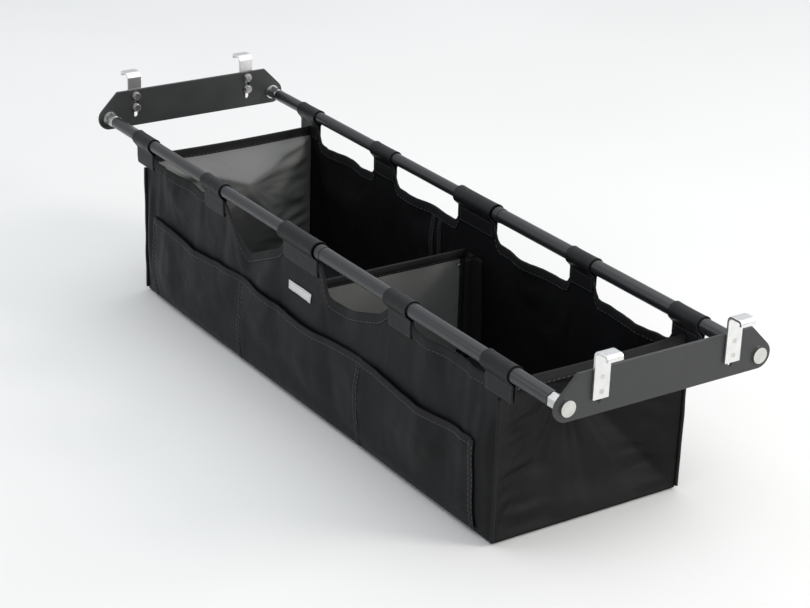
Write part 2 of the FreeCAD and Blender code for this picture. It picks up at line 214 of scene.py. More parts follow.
# %% Zinc
def zinc_plating(name, dark, light, roughness, marks_mm, stretch):
    metal = new_material(name)
    place = add_node(metal, "TexCoord")
    along = add_node(metal, "Mapping", {"Scale": stretch}, {"Vector": (place, "Object")})
    marks = {"Scale": lumps(marks_mm), "Detail": 3.0, "Roughness": 0.6}
    marks = add_node(metal, "TexNoise", marks, {"Vector": (along, "Vector")})
    cloud = add_node(metal, "TexNoise", {"Scale": lumps(14), "Detail": 4.0}, {"Vector": (place, "Object")})
    tone = {"data_type": "RGBA", 6: linear(dark), 7: linear(light)}
    tone = add_node(metal, "Mix", tone, {0: (cloud, "Fac")})
    sheen = {"To Min": roughness - 0.07, "To Max": roughness + 0.12}
    sheen = add_node(metal, "MapRange", sheen, {"Value": (marks, "Fac")})
    relief = add_node(metal, "Bump", {"Distance": 0.00005}, {"Height": (marks, "Fac")})
    links = {"Base Color": (tone, 2), "Roughness": (sheen, "Result"), "Normal": (relief, "Normal")}
    shader = add_node(metal, "BsdfPrincipled", {"Metallic": 1.0}, links)
    add_node(metal, "OutputMaterial", links={"Surface": (shader, "BSDF")})
    return metal


hook_zinc = zinc_plating("bright_zinc_on_rolled_strap", "#cfd1d3", "#f1f1ee", 0.30, 1.2, (1.0, 1.0, 0.06))
small_zinc = zinc_plating("zinc_on_bolts_and_nuts", "#b4b6b8", "#dedcd6", 0.27, 1.5, (0.2, 1.0, 1.0))

# %% [markdown]
# ## Moulded nylon
#
# The lock collars are glass filled nylon, moulded black, with the fine spark eroded grain
# of the mould: grains of 0.8 mm, deep enough to make the plastic look dry.

# %% Nylon
nylon = new_material("moulded_black_nylon")
place = add_node(nylon, "TexCoord")
cloud = add_node(nylon, "TexNoise", {"Scale": lumps(20), "Detail": 2.0}, {"Vector": (place, "Object")})
grains = add_node(nylon, "TexNoise", {"Scale": lumps(0.8)}, {"Vector": (place, "Object")})
tone = {"data_type": "RGBA", 6: linear("#1b1c1d"), 7: linear("#252628")}
tone = add_node(nylon, "Mix", tone, {0: (cloud, "Fac")})
relief = add_node(nylon, "Bump", {"Distance": 0.00005}, {"Height": (grains, "Fac")})
links = {"Base Color": (tone, 2), "Normal": (relief, "Normal")}
shader = add_node(nylon, "BsdfPrincipled", {"IOR": 1.53, "Roughness": 0.42}, links)
add_node(nylon, "OutputMaterial", links={"Surface": (shader, "BSDF")})
collar_nylon = nylon

# %% [markdown]
# ## Ribbed board
#
# The stiffener in the bag's floor is extruded polypropylene board. It is two skins joined
# by ribs, and the ribs show through as shallow lines 5 mm apart.

# %% Ribbed board
board = new_material("ribbed_polypropylene_board")
place = add_node(board, "TexCoord")
ribs = {"wave_type": "BANDS", "bands_direction": "X", "Scale": bands(5)}
ribs = add_node(board, "TexWave", ribs, {"Vector": (place, "Object")})
cloud = add_node(board, "TexNoise", {"Scale": lumps(50), "Detail": 3.0}, {"Vector": (place, "Object")})
tone = {"data_type": "RGBA", 6: linear("#1d1f21"), 7: linear("#27292b")}
tone = add_node(board, "Mix", tone, {0: (cloud, "Fac")})
relief = add_node(board, "Bump", {"Distance": 0.00025}, {"Height": (ribs, "Fac")})
links = {"Base Color": (tone, 2), "Normal": (relief, "Normal")}
shader = add_node(board, "BsdfPrincipled", {"IOR": 1.49, "Roughness": 0.48}, links)
add_node(board, "OutputMaterial", links={"Surface": (shader, "BSDF")})
floor_polypropylene = board

# %% [markdown]
# ## Coated cloth
#
# The bag is polyester with a rubbery coating. The yarn of such a cloth is about 0.6 mm
# apart, which can't be seen here, so its plain weave is drawn at 2.6 mm. Warp and weft
# are two sets of waves at right angles, and a checker pattern decides which one is on top
# at each crossing. The waves are measured on the flat cut of the cloth, so they bend with
# every fold. Fine creases of 18 mm lie under the weave, and the coating's dull gloss
# wanders where the cloth is rubbed.

# %% Coated cloth
WEAVE_MM = 2.6


def coated_cloth(name, dark, light, roughness, gloss):
    cloth = new_material(name)
    place = add_node(cloth, "TexCoord")
    flat = add_node(cloth, "UVMap", {"uv_map": "flat"})
    over = add_node(cloth, "TexChecker", {"Scale": lumps(WEAVE_MM)}, {"Vector": (flat, "UV")})
    warp = {"wave_type": "BANDS", "bands_direction": "X", "Scale": bands(WEAVE_MM)}
    warp = add_node(cloth, "TexWave", warp, {"Vector": (flat, "UV")})
    weft = {"wave_type": "BANDS", "bands_direction": "Y", "Scale": bands(WEAVE_MM)}
    weft = add_node(cloth, "TexWave", weft, {"Vector": (flat, "UV")})
    weave = {0: (over, "Fac"), 2: (warp, "Fac"), 3: (weft, "Fac")}
    weave = add_node(cloth, "Mix", {"data_type": "FLOAT"}, weave)
    soft = {"Scale": lumps(110), "Detail": 5.0, "Roughness": 0.6}
    soft = add_node(cloth, "TexNoise", soft, {"Vector": (place, "Object")})
    rubbed = {"Scale": lumps(30), "Detail": 6.0, "Roughness": 0.75}
    rubbed = add_node(cloth, "TexNoise", rubbed, {"Vector": (place, "Object")})
    crumple = add_node(cloth, "TexNoise", {"Scale": lumps(18), "Detail": 4.0}, {"Vector": (place, "Object")})
    tone = {"data_type": "RGBA", 6: linear(dark), 7: linear(light)}
    tone = add_node(cloth, "Mix", tone, {0: (soft, "Fac")})
    sheen = {"To Min": roughness - 0.08, "To Max": roughness + 0.08}
    sheen = add_node(cloth, "MapRange", sheen, {"Value": (rubbed, "Fac")})
    creases = add_node(cloth, "Bump", {"Strength": 0.8, "Distance": 0.0009}, {"Height": (crumple, "Fac")})
    relief = {"Height": (weave, 0), "Normal": (creases, "Normal")}
    relief = add_node(cloth, "Bump", {"Distance": 0.00016}, relief)
    links = {"Base Color": (tone, 2), "Roughness": (sheen, "Result"), "Normal": (relief, "Normal")}
    shader = add_node(cloth, "BsdfPrincipled", {"IOR": 1.45, "Specular IOR Level": gloss}, links)
    add_node(cloth, "OutputMaterial", links={"Surface": (shader, "BSDF")})
    return cloth


black_cloth = coated_cloth("black_coated_polyester", "#0a0a0b", "#141416", 0.50, 0.20)
# The loops are the same cloth as the walls. Their copy is made lighter and glossier as a painted highlight,
# for the light that falls on their tops over the bars.
loop_cloth_painted_light = coated_cloth("black_coated_cloth_with_painted_highlight", "#111112", "#1b1b1d", 0.44, 0.28)
grey_lining = coated_cloth("grey_coated_lining", "#646563", "#747573", 0.58, 0.35)

# %% [markdown]
# ## Woven tape
#
# Hems, bindings and piping are woven polyester tape. Its ribs run straight across, and
# they are drawn 2.4 mm apart where real ones are nearer 1 mm. It has no coating, so it is
# duller than the cloth and a little softer at the edges.

# %% Woven tape
tape = new_material("black_woven_tape")
place = add_node(tape, "TexCoord")
flat = add_node(tape, "UVMap", {"uv_map": "flat"})
ribs = {"wave_type": "BANDS", "bands_direction": "X", "Scale": bands(2.4)}
ribs = add_node(tape, "TexWave", ribs, {"Vector": (flat, "UV")})
worn = add_node(tape, "TexNoise", {"Scale": lumps(20), "Detail": 4.0}, {"Vector": (place, "Object")})
tone = {"data_type": "RGBA", 6: linear("#0e0e0f"), 7: linear("#19191a")}
tone = add_node(tape, "Mix", tone, {0: (worn, "Fac")})
relief = add_node(tape, "Bump", {"Distance": 0.00022}, {"Height": (ribs, "Fac")})
links = {"Base Color": (tone, 2), "Normal": (relief, "Normal")}
shader = add_node(tape, "BsdfPrincipled", {"IOR": 1.5, "Roughness": 0.72, "Specular IOR Level": 0.3}, links)
add_node(tape, "OutputMaterial", links={"Surface": (shader, "BSDF")})
black_tape = tape

# %% [markdown]
# ## Thread
#
# The seams are sewn with bonded polyester thread, dark grey against the black. Its twist
# is far too fine to see, so only its colour wanders a little from stitch to stitch.

# %% Thread
thread = new_material("dark_grey_polyester_thread")
place = add_node(thread, "TexCoord")
worn = add_node(thread, "TexNoise", {"Scale": lumps(6), "Detail": 2.0}, {"Vector": (place, "Object")})
tone = {"data_type": "RGBA", 6: linear("#343436"), 7: linear("#49494c")}
tone = add_node(thread, "Mix", tone, {0: (worn, "Fac")})
shader = {"IOR": 1.5, "Roughness": 0.6, "Sheen Weight": 0.3}
shader = add_node(thread, "BsdfPrincipled", shader, {"Base Color": (tone, 2)})
add_node(thread, "OutputMaterial", links={"Surface": (shader, "BSDF")})
dark_thread = thread

# %% [markdown]
# ## Soft vinyl
#
# The tag is a plain moulded strip of pale soft vinyl, left blank. Vinyl has a faint
# leathery grain, about 1 mm across, and a dull shine.

# %% Vinyl
vinyl = new_material("pale_soft_vinyl")
place = add_node(vinyl, "TexCoord")
cloud = add_node(vinyl, "TexNoise", {"Scale": lumps(10), "Detail": 3.0}, {"Vector": (place, "Object")})
grains = add_node(vinyl, "TexNoise", {"Scale": lumps(1.2)}, {"Vector": (place, "Object")})
tone = {"data_type": "RGBA", 6: linear("#c4c5c4"), 7: linear("#dcdcda")}
tone = add_node(vinyl, "Mix", tone, {0: (cloud, "Fac")})
relief = add_node(vinyl, "Bump", {"Distance": 0.00005}, {"Height": (grains, "Fac")})
links = {"Base Color": (tone, 2), "Normal": (relief, "Normal")}
shader = add_node(vinyl, "BsdfPrincipled", {"IOR": 1.53, "Roughness": 0.4}, links)
add_node(vinyl, "OutputMaterial", links={"Surface": (shader, "BSDF")})
pale_vinyl = vinyl

# %% [markdown]
# ## Studio paper
#
# The floor is a sheet of matt white paper, large enough to have no edge in view.

# %% Studio paper
paper = new_material("pale_studio_paper")
place = add_node(paper, "TexCoord")
cloud = add_node(paper, "TexNoise", {"Scale": lumps(900), "Detail": 2.0}, {"Vector": (place, "Object")})
tone = {"data_type": "RGBA", 6: linear("#dededc"), 7: linear("#e6e6e4")}
tone = add_node(paper, "Mix", tone, {0: (cloud, "Fac")})
shader = add_node(paper, "BsdfPrincipled", {"Roughness": 0.85}, {"Base Color": (tone, 2)})
add_node(paper, "OutputMaterial", links={"Surface": (shader, "BSDF")})

# %% [markdown]
# ## Finishes on the metal parts
#
# The CAD nodes are the right shape already, so each one keeps its mesh and only takes a
# material. Which material goes on which node follows from the node's name.

# %% Dress the CAD nodes
FINISHES = {
    "end_plate": plate_powder_coat,
    "inner_tube": tube_black_paint,
    "outer_tube": tube_black_paint,
    "rail_hook": hook_zinc,
    "hook_bolts": small_zinc,
    "hook_washers": small_zinc,
    "bar_washers": small_zinc,
    "bar_stud": small_zinc,
    "bar_nut": small_zinc,
    "tube_plug": small_zinc,
    "divider_rivets": small_zinc,
    "lock_collar": collar_nylon,
    "collet": collar_nylon,
    "guide_bush": collar_nylon,
}
dressed = 0
for node_name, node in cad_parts.items():
    for ending, finish in FINISHES.items():
        if node_name.endswith(ending):
            node.data.materials.clear()
            node.data.materials.append(finish)
            dressed += 1
print("CAD nodes dressed:", dressed)

# %% [markdown]
# ## Sheets from grids
#
# A sheet of cloth is easiest to make as a grid of points: rows run up the cloth and
# columns run along it. The same grid without its folds is the flat cut, and it is kept as
# the mesh's UV map, in metres, so that weave and ribs have their real size.


# %% Mesh helpers
def run_of(path):
    """Length along a path at each of its points."""
    return np.concatenate([[0.0], np.cumsum(np.linalg.norm(np.diff(path, axis=0), axis=1))])


def quads(rows, columns, closed=False):
    """Faces of a grid of points. closed joins the last column to the first."""
    faces = []
    for r in range(rows - 1):
        for c in range(columns if closed else columns - 1):
            n = (c + 1) % columns
            faces.append((r * columns + c, r * columns + n, (r + 1) * columns + n, (r + 1) * columns + c))
    return faces


def make_mesh(name, points, faces, flat, material):
    """A smooth mesh with one material, and its flat cut as the UV map."""
    mesh = bpy.data.meshes.new(name)
    mesh.from_pydata(np.asarray(points).reshape(-1, 3).tolist(), [], faces)
    layer = mesh.uv_layers.new(name="flat")
    order = np.zeros(len(mesh.loops), dtype=np.int32)
    mesh.loops.foreach_get("vertex_index", order)
    layer.data.foreach_set("uv", flat.reshape(-1, 2)[order].astype(np.float32).ravel())
    mesh.polygons.foreach_set("use_smooth", [True] * len(mesh.polygons))
    mesh.materials.append(material)
    mesh.validate()
    piece = bpy.data.objects.new(name, mesh)
    bpy.context.scene.collection.objects.link(piece)
    return piece


def grid_piece(name, grid, flat, material):
    """Sheet through rows x columns of points."""
    return make_mesh(name, grid, quads(*grid.shape[:2]), flat, material)


def loft(name, rings, material, step=0.003):
    """Closed skin through rings of points. step is the tape's width from one point of a ring to the next."""
    rings = np.array(rings)
    count, around = rings.shape[:2]
    faces = quads(count, around, closed=True)
    faces.append(tuple(reversed(range(around))))
    faces.append(tuple(range((count - 1) * around, count * around)))
    flat = np.stack(np.meshgrid(run_of(rings.mean(axis=1)), np.arange(around) * step, indexing="ij"), axis=-1)
    return make_mesh(name, rings, faces, flat, material)


def add_modifier(piece, kind, **settings):
    modifier = piece.modifiers.new(kind.lower(), kind)
    for name, value in settings.items():
        setattr(modifier, name, value)
    return modifier


def thicken(piece, thickness, levels=1, inside=None):
    """Round the sheet off and give it its thickness. inside is a material for its back."""
    if levels:
        add_modifier(piece, "SUBSURF", levels=levels, render_levels=levels)
    solid = add_modifier(piece, "SOLIDIFY", thickness=thickness, offset=0.0, use_even_offset=False)
    if inside is not None:
        piece.data.materials.append(inside)
        solid.material_offset = 1
    return piece


def sew_on(piece, body, slot, *nodes):
    """Attach the piece to the body it rides on, and hide the CAD nodes it stands for. slot is not used."""
    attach(piece, body)
    if nodes:
        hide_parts(*nodes)
    return piece


# %% [markdown]
# ## The outline of the long walls
#
# The CAD panels have the walls' true outline: tabs under the loops, a straight hem
# between them, and two hand openings in the rear wall. The outline is read back from the
# panel's corner points, and averaged over a few millimetres, because a sewn hem turns its
# corners softly.


# %% Read the hems
def node_points(node):
    return np.array([vertex.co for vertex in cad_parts[node].data.vertices])


def hem_height(node, places, soften=0.006):
    """Height of a wall's upper edge at each x."""
    corners = {(round(x, 4), round(z, 4)) for x, _, z in node_points(node) if z > POCKET_TOP}
    path = []
    for x in sorted({x for x, _ in corners}):
        heights = [z for cx, z in corners if cx == x]
        heights.sort(key=lambda z: abs(z - path[-1][1]) if path else -z)
        path += [(x + 1e-5 * i, z) for i, z in enumerate(heights)]
    fine = np.arange(-BAG_END, BAG_END, 0.001)
    sharp = np.interp(fine, [p[0] for p in path], [p[1] for p in path])
    reach = np.arange(-3 * soften, 3 * soften, 0.001)
    weights = np.exp(-(reach / soften) ** 2 / 2)
    padded = np.pad(sharp, len(reach) // 2, mode="edge")
    smooth = np.convolve(padded, weights / weights.sum(), mode="same")[len(reach) // 2:][:len(fine)]
    return np.interp(places, fine, smooth)


def loop_spans(node):
    """Start and end along X of each loop in a CAD node."""
    ends = np.unique(np.round(node_points(node)[:, 0], 4))
    return ends.reshape(-1, 2)


LOOPS = loop_spans("rear_loops")
print("loops", LOOPS.tolist())

# %% [markdown]
# ## The long walls
#
# Each long wall is one piece of cloth, cut a little fuller than the frame it hangs in. It
# starts as a grid of points, a column every 7 mm, that already has shallow folds between
# the loops, because a bag that was packed flat keeps its creases. Under the loops and at
# the corners it is flat, since it is sewn there.


# %% Lay out the long walls
def wave_noise(x, y, z, size, seed):
    """Smooth noise from -1 to 1 with lumps of one size."""
    return noise.noise(Vector((x / size + seed, y / size - seed, z / size + 2 * seed)))


def smooth_step(value, low, high):
    share = min(1.0, max(0.0, (value - low) / (high - low)))
    return share * share * (3 - 2 * share)


def gap_share(x):
    """0 under a loop, rising to 1 midway to the next one."""
    for (_, left), (right, _) in zip(LOOPS[:-1], LOOPS[1:]):
        if left < x < right:
            return math.sin(math.pi * (x - left) / (right - left))
    return 0.0


def beside_loop(x):
    """1 under a loop and falling to 0 a short way from it."""
    away = min(max(start - x, x - stop, 0.0) for start, stop in LOOPS)
    return 1 - smooth_step(away, 0.0, 0.045)


BELLY = 0.011           # how far a wall swells between floor and hem
FOLD_DEPTH = 0.0060     # folds from packing, which run up the wall
FOLD_PITCH = 0.165
RUMPLE_DEPTH = 0.012    # broad dents
RUMPLE_SIZE = 0.085
SLANT_DEPTH = 0.004     # small creases that lean
GATHER_DEPTH = 0.0045   # gathers beside the corner seams
GATHER_PITCH = 0.031


def wall_out(x, z, height, side):
    """How far a long wall stands out from its flat plane, from floor to hem."""
    gap = gap_share(x)
    seed = 3.1 if side < 0 else 7.7
    swell = 1 + 0.5 * wave_noise(x, side, height, 0.35, seed)
    belly = BELLY * math.sin(math.pi * height ** 0.8) * swell
    drift = 2.2 * wave_noise(x, 0, 0, 0.3, seed)
    folds = FOLD_DEPTH * math.sin(2 * math.pi * x / FOLD_PITCH + drift) * gap * height ** 1.6
    loose = math.sin(math.pi * min(1, height * 1.15)) * (0.35 + 0.65 * gap)
    rumple = RUMPLE_DEPTH * wave_noise(x, 0, z, RUMPLE_SIZE, seed) * loose
    slant = SLANT_DEPTH * wave_noise(x + 0.5 * z, 0, z / 2, 0.05, seed + 5) * height * gap
    near_end = math.exp(-(BAG_END - abs(x)) / 0.05)
    gather = GATHER_DEPTH * math.sin(2 * math.pi * x / GATHER_PITCH) * near_end * height ** 0.5
    sewn = 1 - beside_loop(x) * smooth_step(z, LOOP_END - 0.070, LOOP_END - 0.006)
    corner = smooth_step(BAG_END - abs(x), 0.0, 0.022)
    return (belly + folds + rumple + slant + gather) * sewn * corner


LOOP_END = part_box("rear_loops")[0].z
WALL_X = np.linspace(-BAG_END, BAG_END, round(2 * BAG_END / COLUMN) + 1)


def wall_grid(side):
    """Rows from the floor to the hem, and columns along the bar."""
    sign = SIGNS[side]
    tops = hem_height(f"{side}_wall", WALL_X)
    grid = np.zeros((ROWS, len(WALL_X), 3))
    for r in range(ROWS):
        height = r / (ROWS - 1)
        for c, x in enumerate(WALL_X):
            z = FLOOR_TOP + (tops[c] - FLOOR_TOP) * height
            grid[r, c] = (x, sign * (BAR_Y + wall_out(x, z, height, sign)), z)
    return grid


start_walls = {side: wall_grid(side) for side in SIGNS}
print("wall grids", start_walls["rear"].shape[:2])

# %% [markdown]
# ## Let the cloth down
#
# A cloth simulation treats every edge of the grid as a small spring and lets gravity pull.
# The tabs are held, because they are sewn round the bars, and so are the corners and the
# lowest row, which are sewn to the end walls and the stiff floor. What lies between them
# sags and creases by itself, and that is what makes it read as cloth. The result is read
# back as plain points.


# %% Run the cloth simulation
def held_points(grid):
    """Numbers of the points that are sewn to something stiff."""
    rows, columns = grid.shape[:2]
    held = set(range(columns))
    for r in range(rows):
        held |= {r * columns, r * columns + columns - 1}
        for c in range(columns):
            under_loop = any(start <= grid[r, c, 0] <= stop for start, stop in LOOPS)
            if under_loop and grid[r, c, 2] > LOOP_END - 0.003:
                held.add(r * columns + c)
    return sorted(held)


HANG_FRAMES = 26
STIFFNESS = {"tension": 30.0, "compression": 22.0, "shear": 10.0, "bending": 0.5}
HEM_BENDING = 40.0
POINT_MASS = 0.008


def let_down(points):
    """Hang a wall under gravity and return its points."""
    piece = grid_piece("wall_to_hang", points, np.zeros(points.shape[:2] + (2,)), black_cloth)
    group = piece.vertex_groups.new(name="held")
    group.add(held_points(points), 1.0, "REPLACE")
    hem = piece.vertex_groups.new(name="hem")
    hem.add(list(range((len(points) - 3) * points.shape[1], points[..., 0].size)), 1.0, "REPLACE")
    cloth = piece.modifiers.new("hang", "CLOTH")
    cloth.point_cache.frame_start, cloth.point_cache.frame_end = 1, HANG_FRAMES
    for name, value in STIFFNESS.items():
        setattr(cloth.settings, f"{name}_stiffness", value)
    cloth.settings.quality = 7
    cloth.settings.mass = POINT_MASS
    cloth.settings.air_damping = 2.0
    cloth.settings.vertex_group_mass = "held"
    cloth.settings.vertex_group_bending = "hem"
    cloth.settings.bending_stiffness_max = HEM_BENDING
    scene = bpy.context.scene
    for step in range(1, HANG_FRAMES + 1):
        scene.frame_set(step)
    shape = piece.evaluated_get(bpy.context.evaluated_depsgraph_get())
    hung = np.array([vertex.co for vertex in shape.data.vertices]).reshape(points.shape)
    bpy.data.objects.remove(piece)
    scene.frame_set(1)
    return hung


PANEL_POINTS = {}
for side, grid in start_walls.items():
    PANEL_POINTS[side] = let_down(grid)
    moved = np.linalg.norm(PANEL_POINTS[side] - grid, axis=2)
    print(side, "wall moved by at most", round(float(moved.max()) * 1000, 1), "mm")

# %% [markdown]
# ## The folded end walls
#
# Each end wall is folded inward like an envelope, so that the bag can be pushed together:
# four slopes run from its edges to one deep point. The CAD panel gives that point. The
# slopes meet in sharp creases, and small wrinkles run out from the deep point, where the
# cloth has been folded over and over. Its shape is set by those folds and not by gravity,
# so it is modelled directly, on a finer grid.

# %% Lay out the end walls
FOLD_POINT = max(node_points("left_end_wall"), key=lambda p: p[0])
FOLD_IN = FOLD_POINT[0] + BAG_END
FOLD_Z = FOLD_POINT[2]
FOLD_BAND = END_TOP - TAPE_W
FOLD_ROUND = 0.010      # how round the four creases are, as a share of the depth
RAY_DEPTH = 0.0060      # wrinkles that run out from the deep point
LINE_DEPTH = 0.0078     # wrinkles that run in from the side seams
BROAD_DEPTH = 0.0045
HEM_SAG = 0.0025


def end_in(y, z, side):
    """How far an end wall is folded inward at one point."""
    seed = 11.3 + side
    drift = 0.13 * wave_noise(y, 0, z, 0.12, seed)
    down = (FOLD_BAND - z) / (FOLD_BAND - FOLD_Z) * (1 + drift)
    up = (z - FLOOR_TOP) / (FOLD_Z - FLOOR_TOP)
    reach = (1 - abs(y) / BAR_Y) * (1 - drift)
    slopes = [max(-0.2, share) for share in (down, up, reach)]
    depth = -FOLD_ROUND * math.log(sum(math.exp(-share / FOLD_ROUND) for share in slopes))
    inside = min(1.0, 6 * max(0.0, min(slopes)))
    angle = math.atan2(z - FOLD_Z, y)
    away = min(1.0, math.hypot(y, z - FOLD_Z) / 0.10)
    rays = RAY_DEPTH * wave_noise(angle, 0, 0, 0.13, seed) * away * (1.3 - away)
    lines = LINE_DEPTH * wave_noise(0.22 * y, 0, z, 0.018, seed + 2) * smooth_step(abs(y), 0.03, 0.13)
    broad = BROAD_DEPTH * wave_noise(y, 0, z, 0.06, seed + 4)
    return FOLD_IN * max(0.0, depth) + (rays + lines + broad) * inside


def end_grid(side):
    """Rows from the floor up and columns so that the cloth's face looks out."""
    ys = np.linspace(-BAR_Y, BAR_Y, 85) * side
    grid = np.zeros((66, len(ys), 3))
    for r, share in enumerate(np.linspace(0, 1, len(grid))):
        for c, y in enumerate(ys):
            z = FLOOR_TOP + (END_TOP - HEM_SAG * math.cos(math.pi * y / (2 * BAR_Y)) - FLOOR_TOP) * share
            grid[r, c] = (side * (BAG_END - end_in(y, z, side)), y, z)
    return grid


PANEL_POINTS["left"], PANEL_POINTS["right"] = end_grid(-1), end_grid(1)
print("end walls fold in by", round(float(BAG_END + PANEL_POINTS["left"][:, :, 0].max()) * 1000, 1), "mm")

# %% [markdown]
# ## Make the panels
#
# Each panel is its own sheet of cloth, rounded off by one subdivision and given the
# thickness of the coated cloth. Its flat cut is measured along the cloth, so its folds
# count. The end walls are black outside and lined with a grey cloth inside, which is what
# shows from above.


# %% Make the panels
def lengths_of(grid, level=True):
    """Length along the cloth of each row and column, point by point. level measures rows in plan."""
    along = np.linalg.norm(np.diff(grid[:, :, :2] if level else grid, axis=1), axis=2)
    up = np.linalg.norm(np.diff(grid, axis=0), axis=2)
    along = np.cumsum(np.pad(along, ((0, 0), (1, 0))), axis=1)
    return along, np.cumsum(np.pad(up, ((1, 0), (0, 0))), axis=0)


def flat_cut(grid, level=True):
    along, up = lengths_of(grid, level)
    return np.stack([along.mean(axis=0)[None, :].repeat(len(grid), 0), up], axis=-1)


def cloth_panel(name, grid, material, inside=None):
    return thicken(grid_piece(name, grid, flat_cut(grid), material), CLOTH_T, inside=inside)


panels = {}
for side in SIGNS:
    panels[side] = cloth_panel(f"{side}_panel", PANEL_POINTS[side], black_cloth)
    sew_on(panels[side], "bag", "bag_fabric", f"{side}_wall")
for side in ("left", "right"):
    panels[side] = cloth_panel(f"{side}_end_panel", PANEL_POINTS[side], black_cloth, inside=grey_lining)
    sew_on(panels[side], "bag", "bag_lining", f"{side}_end_wall")

# %% [markdown]
# ## Tapes along the edges
#
# A cut edge of coated cloth frays, so the maker folds a woven tape over it and sews
# through all layers. Each tape here is drawn as a thin band that closes over the edge: it
# reads the panel's own points some way below the edge, so it follows every sag.


# %% Tape maker
def normals_of(grid):
    """Direction out of the cloth at each grid point."""
    along = np.gradient(grid, axis=1)
    up = np.gradient(grid, axis=0)
    out = np.cross(along, up)
    return out / np.maximum(np.linalg.norm(out, axis=2, keepdims=True), 1e-9)


def below_edge(grid, depth):
    """Points and directions at one distance below the top edge, measured along the cloth."""
    up = lengths_of(grid)[1]
    out = normals_of(grid)
    places, ways = [], []
    for c in range(grid.shape[1]):
        at = up[-1, c] - depth
        places.append([np.interp(at, up[:, c], grid[:, c, k]) for k in range(3)])
        ways.append([np.interp(at, up[:, c], out[:, c, k]) for k in range(3)])
    ways = np.array(ways)
    return np.array(places), ways / np.linalg.norm(ways, axis=1, keepdims=True)


def edge_tape(name, grid, width=TAPE_W, rise=0.0012):
    """Band folded over the top edge of a panel."""
    off = CLOTH_T / 2 + TAPE_T
    depths = [width, width * 0.97, width * 0.6, width * 0.25, 0.001]
    lifts = [off * 0.55, off, off, off, off]
    outer, inner = [], []
    for depth, lift in zip(depths, lifts):
        place, way = below_edge(grid, depth)
        outer.append(place + way * lift)
        inner.append(place - way * lift)
    edge, way = below_edge(grid, 0.0)
    crown = [edge + way * off * 0.6, edge - way * off * 0.6]
    for line in crown:
        line[:, 2] += rise
    rings = np.stack(outer + crown + inner[::-1], axis=1)
    return loft(name, rings, black_tape, step=0.004)


def seam_path(grid, depth, side=1.0):
    """Line on the face of the tape at one distance below a panel's edge."""
    place, way = below_edge(grid, depth)
    return place + way * side * (CLOTH_T / 2 + TAPE_T), way * side


# %% [markdown]
# ## Rows of stitches
#
# A lockstitch shows as a row of short raised beads of thread with gaps between them. Real
# stitches in such cloth are 3 mm long and too small to see here, so they are drawn 6 mm
# long on a 9.5 mm pitch, each as a real little capsule that sits half in the tape.


# %% Stitch maker
def resample(path, ways, pitch):
    """Where each stitch sits along a path, which way it runs, and which way is out of the cloth."""
    path, ways = np.asarray(path), np.asarray(ways)
    steps = run_of(path)
    marks = np.arange(pitch * 0.6, steps[-1] - pitch * 0.4, pitch)

    def read(at, values):
        return np.stack([np.interp(at, steps, values[:, k]) for k in range(3)], axis=1)

    place = read(marks, path)
    return place, read(marks + 0.001, path) - place, read(marks, ways)


def stitches(name, rows, body, slot, size=1.0):
    """One object for many rows. A row is a path of points and the directions out of the cloth."""
    points, faces = [], []
    profile = [(-1.0, 0.45), (-0.6, 1.0), (0.6, 1.0), (1.0, 0.45)]
    for path, ways in rows:
        for place, ahead, way in zip(*resample(path, ways, STITCH_PITCH * size)):
            ahead = ahead / max(np.linalg.norm(ahead), 1e-9)
            across = np.cross(ahead, way)
            base = len(points)
            for share, radius in profile:
                for turn in range(5):
                    a = 2 * math.pi * turn / 5
                    spoke = math.cos(a) * across + math.sin(a) * way
                    centre = place + ahead * share * STITCH_PITCH * size * STITCH_SHARE / 2
                    points.append(centre + spoke * radius * STITCH_R * size)
            for ring in range(3):
                for turn in range(5):
                    a, b = base + 5 * ring + turn, base + 5 * ring + (turn + 1) % 5
                    faces.append((a, b, b + 5, a + 5))
            faces += [tuple(base + k for k in (4, 3, 2, 1, 0)), tuple(base + 15 + k for k in range(5))]
    piece = make_mesh(name, points, faces, np.zeros((len(points), 2)), dark_thread)
    print(name, len(points) // 20, "stitches")
    return sew_on(piece, body, slot)


# %% [markdown]
# ## Hems and bindings
#
# The hems of the long walls run from corner to corner, and the end walls' bindings stop
# just short of the corner seams. Each is sewn through by one row of stitches, 3 mm above
# the tape's lower edge, which shows on both faces.

# %% Hems of the long walls and bindings of the end walls
STITCH_INSET = 0.003
tapes, hem_rows = {}, []
for side in SIGNS:
    tapes[side] = sew_on(edge_tape(f"{side}_hem_tape", PANEL_POINTS[side]), "bag", "bag_binding")
for side in ("left", "right"):
    tapes[side] = edge_tape(f"{side}_end_tape", PANEL_POINTS[side][:, 1:-1])
    sew_on(tapes[side], "bag", "bag_binding", f"{side}_end_binding")
for side, panel in PANEL_POINTS.items():
    sewn = panel if side in SIGNS else panel[:, 2:-2]
    hem_rows += [seam_path(sewn, TAPE_W - STITCH_INSET, face) for face in (1.0, -1.0)]
hem_stitches = stitches("hem_stitches", hem_rows, "bag", "bag_binding")

# %% [markdown]
# ## Piping down the corners
#
# Where two panels meet, a corded tape is sewn into the seam. The cord is 6 mm thick and
# stands just outside the corner. It wanders by less than a millimetre, since it is
# gathered a little by the thread.


# %% Corner piping
def tube_along(name, path, radius, material, sides=10, wander=0.0):
    path = np.asarray(path)
    ahead = np.gradient(path, axis=0)
    ahead /= np.linalg.norm(ahead, axis=1, keepdims=True)
    reference = np.array([0.0, 0.0, 1.0]) if abs(ahead[0][2]) < 0.8 else np.array([1.0, 0.0, 0.0])
    rings = []
    for i, (place, way) in enumerate(zip(path, ahead)):
        side = np.cross(reference, way)
        side /= np.linalg.norm(side)
        other = np.cross(way, side)
        swell = radius * (1 + wander * noise.noise(Vector(place) / 0.03))
        turns = [2 * math.pi * k / sides for k in range(sides)]
        rings.append([place + swell * (math.cos(t) * side + math.sin(t) * other) for t in turns])
    return loft(name, rings, material, step=0.63 * radius)


